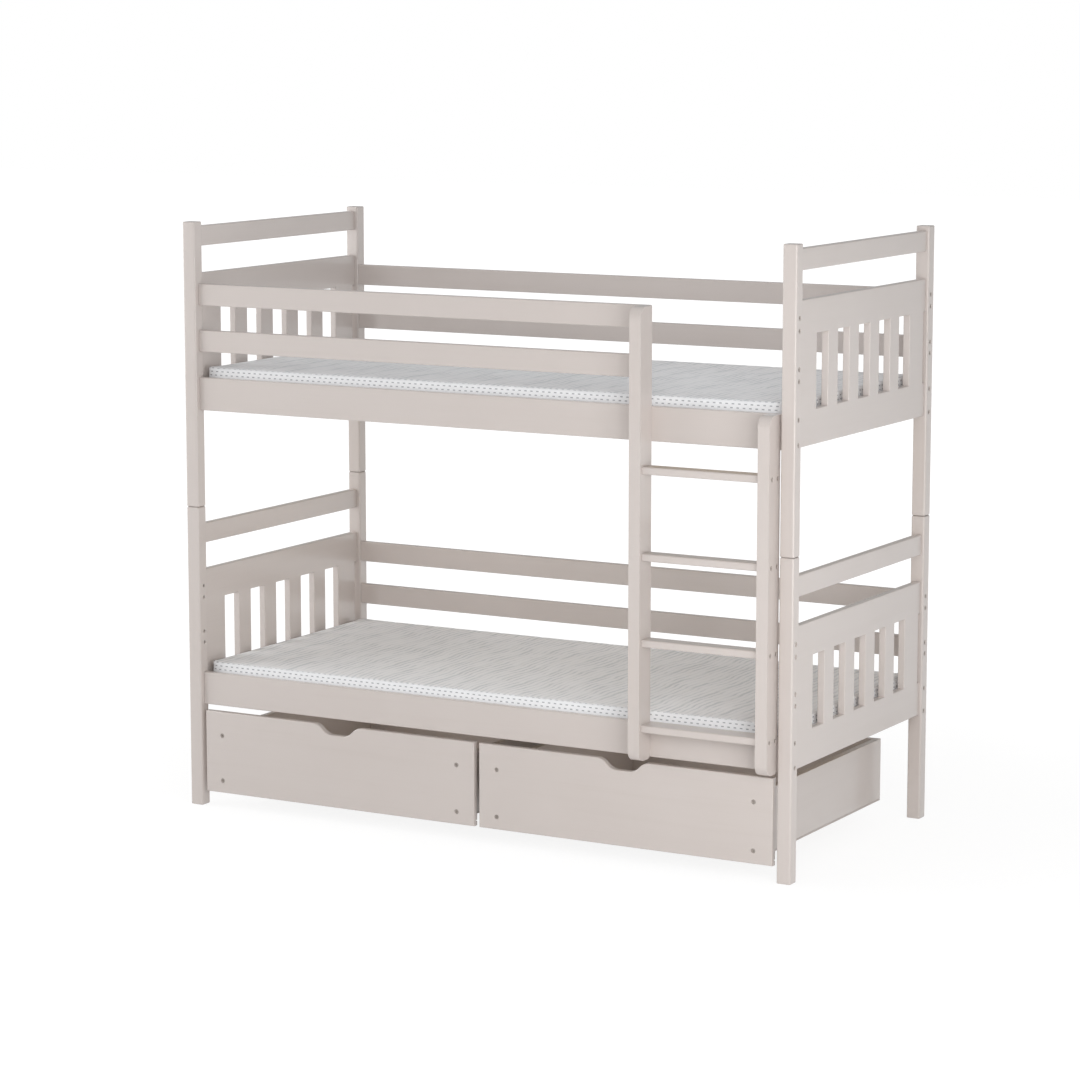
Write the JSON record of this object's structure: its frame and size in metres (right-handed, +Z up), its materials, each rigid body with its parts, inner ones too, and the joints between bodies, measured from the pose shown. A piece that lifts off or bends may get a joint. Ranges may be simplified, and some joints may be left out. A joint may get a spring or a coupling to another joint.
{
  "type": "bunk bed",
  "caption": "Painted pine bunk bed that splits into single beds, with slotted end panels, guard rails, a ladder, mattresses and rolling under-bed drawers with cut-out hand holds.",
  "frame": {"origin": "on the floor, in the middle of the footprint with the ladder included", "axes": "+X along the bed towards the ladder end, +Y from the ladder side to the wall side, +Z up"},
  "size_m": [1.88, 0.9284, 1.652],
  "materials": {
    "painted_pine": "satin warm grey paint over fine grain",
    "bare_pine": "planed, unpainted",
    "mattress_cover": "white knit with fine wavy lines, stitched side border",
    "drawer_panel": "thin painted fibreboard",
    "wheel_plastic": "moulded dark grey"
  },
  "bodies": {
    "frame": {"lower_post_front_left": "painted_pine", "lower_post_front_right": "painted_pine", "lower_post_back_left": "painted_pine", "lower_post_back_right": "painted_pine", "upper_post_front_left": "painted_pine", "upper_post_front_right": "painted_pine", "upper_post_back_left": "painted_pine", "upper_post_back_right": "painted_pine", "lower_end_panel_left": "painted_pine", "lower_end_panel_right": "painted_pine", "upper_end_panel_left": "painted_pine", "upper_end_panel_right": "painted_pine", "lower_end_top_rail_left": "painted_pine", "lower_end_top_rail_right": "painted_pine", "upper_end_top_rail_left": "painted_pine", "upper_end_top_rail_right": "painted_pine", "lower_side_rail_front": "painted_pine", "lower_side_rail_back": "painted_pine", "upper_side_rail_front": "painted_pine", "upper_side_rail_back": "painted_pine", "lower_back_rail_low": "painted_pine", "lower_back_rail_high": "painted_pine", "upper_back_rail_low": "painted_pine", "upper_back_rail_high": "painted_pine", "guard_rail_low": "painted_pine", "guard_rail_high": "painted_pine", "ladder_stile_left": "painted_pine", "ladder_stile_right": "painted_pine", "ladder_rung_1": "painted_pine", "ladder_rung_2": "painted_pine", "ladder_rung_3": "painted_pine", "ladder_rung_4": "painted_pine", "lower_slatted_base": "bare_pine", "upper_slatted_base": "bare_pine", "lower_mattress": "mattress_cover", "upper_mattress": "mattress_cover"},
    "drawer_left": {"drawer_left_front": "painted_pine", "drawer_left_back": "painted_pine", "drawer_left_side_left": "painted_pine", "drawer_left_side_right": "painted_pine", "drawer_left_bottom": "drawer_panel", "drawer_left_bearer_left": "bare_pine", "drawer_left_bearer_right": "bare_pine"},
    "drawer_right": {"drawer_right_front": "painted_pine", "drawer_right_back": "painted_pine", "drawer_right_side_left": "painted_pine", "drawer_right_side_right": "painted_pine", "drawer_right_bottom": "drawer_panel", "drawer_right_bearer_left": "bare_pine", "drawer_right_bearer_right": "bare_pine"},
    "left_wheel_front_left": {"drawer_left_wheel_front_left": "wheel_plastic"},
    "left_wheel_front_right": {"drawer_left_wheel_front_right": "wheel_plastic"},
    "left_wheel_back_left": {"drawer_left_wheel_back_left": "wheel_plastic"},
    "left_wheel_back_right": {"drawer_left_wheel_back_right": "wheel_plastic"},
    "right_wheel_front_left": {"drawer_right_wheel_front_left": "wheel_plastic"},
    "right_wheel_front_right": {"drawer_right_wheel_front_right": "wheel_plastic"},
    "right_wheel_back_left": {"drawer_right_wheel_back_left": "wheel_plastic"},
    "right_wheel_back_right": {"drawer_right_wheel_back_right": "wheel_plastic"}
  },
  "joints": [
    {"name": "drawer_left_slide", "type": "slide", "parent": "frame", "child": "drawer_left", "axis": [0, -1, 0], "range_m": [0, 0.7]},
    {"name": "drawer_right_slide", "type": "slide", "parent": "frame", "child": "drawer_right", "axis": [0, -1, 0], "range_m": [0, 0.7]},
    {"name": "left_wheel_front_left_spin", "type": "hinge", "parent": "drawer_left", "child": "left_wheel_front_left", "pos_m": [-0.712, -0.20685, 0.022], "axis": [1, 0, 0], "range_deg": [0, 1825]},
    {"name": "left_wheel_front_right_spin", "type": "hinge", "parent": "drawer_left", "child": "left_wheel_front_right", "pos_m": [-0.183, -0.20685, 0.022], "axis": [1, 0, 0], "range_deg": [0, 1825]},
    {"name": "left_wheel_back_left_spin", "type": "hinge", "parent": "drawer_left", "child": "left_wheel_back_left", "pos_m": [-0.712, 0.30815, 0.022], "axis": [1, 0, 0], "range_deg": [0, 1825]},
    {"name": "left_wheel_back_right_spin", "type": "hinge", "parent": "drawer_left", "child": "left_wheel_back_right", "pos_m": [-0.183, 0.30815, 0.022], "axis": [1, 0, 0], "range_deg": [0, 1825]},
    {"name": "right_wheel_front_left_spin", "type": "hinge", "parent": "drawer_right", "child": "right_wheel_front_left", "pos_m": [0.183, -0.20685, 0.022], "axis": [1, 0, 0], "range_deg": [0, 1825]},
    {"name": "right_wheel_front_right_spin", "type": "hinge", "parent": "drawer_right", "child": "right_wheel_front_right", "pos_m": [0.712, -0.20685, 0.022], "axis": [1, 0, 0], "range_deg": [0, 1825]},
    {"name": "right_wheel_back_left_spin", "type": "hinge", "parent": "drawer_right", "child": "right_wheel_back_left", "pos_m": [0.183, 0.30815, 0.022], "axis": [1, 0, 0], "range_deg": [0, 1825]},
    {"name": "right_wheel_back_right_spin", "type": "hinge", "parent": "drawer_right", "child": "right_wheel_back_right", "pos_m": [0.712, 0.30815, 0.022], "axis": [1, 0, 0], "range_deg": [0, 1825]}
  ],
  "couplings": [
    {"joint": "left_wheel_front_left_spin", "follows": "drawer_left_slide", "rad_per_m": 45.455},
    {"joint": "left_wheel_front_right_spin", "follows": "drawer_left_slide", "rad_per_m": 45.455},
    {"joint": "left_wheel_back_left_spin", "follows": "drawer_left_slide", "rad_per_m": 45.455},
    {"joint": "left_wheel_back_right_spin", "follows": "drawer_left_slide", "rad_per_m": 45.455},
    {"joint": "right_wheel_front_left_spin", "follows": "drawer_right_slide", "rad_per_m": 45.455},
    {"joint": "right_wheel_front_right_spin", "follows": "drawer_right_slide", "rad_per_m": 45.455},
    {"joint": "right_wheel_back_left_spin", "follows": "drawer_right_slide", "rad_per_m": 45.455},
    {"joint": "right_wheel_back_right_spin", "follows": "drawer_right_slide", "rad_per_m": 45.455}
  ]
}
